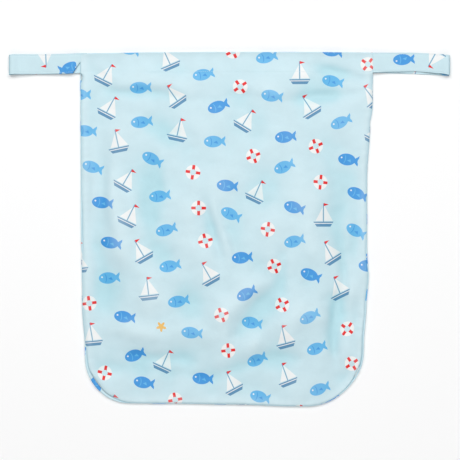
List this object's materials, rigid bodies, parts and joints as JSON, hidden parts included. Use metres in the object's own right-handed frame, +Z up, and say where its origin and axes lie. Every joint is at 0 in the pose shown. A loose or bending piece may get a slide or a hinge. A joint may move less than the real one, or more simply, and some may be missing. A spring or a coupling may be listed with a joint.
{
  "type": "cloth diaper wet bag",
  "caption": "Flat cloth wet bag with rounded bottom corners, an open hemmed mouth and a strap loop in each side seam.",
  "frame": {"origin": "on the floor, under the centre of the whole footprint, loops included", "axes": "+X across the bag along the mouth, towards the longer loop; +Y in the plane of the bag, towards the mouth; +Z up, away from the floor that the bag lies on"},
  "size_m": [0.62, 0.498, 0.0152],
  "materials": {
    "printed_knit": "fine knit, laminated inside, with an all-over print",
    "printed_strap": "the same printed knit folded and stitched flat"
  },
  "bodies": {
    "root": {"front_panel": "printed_knit", "back_panel": "printed_knit", "left_loop": "printed_strap", "right_loop": "printed_strap"}
  },
  "joints": []
}
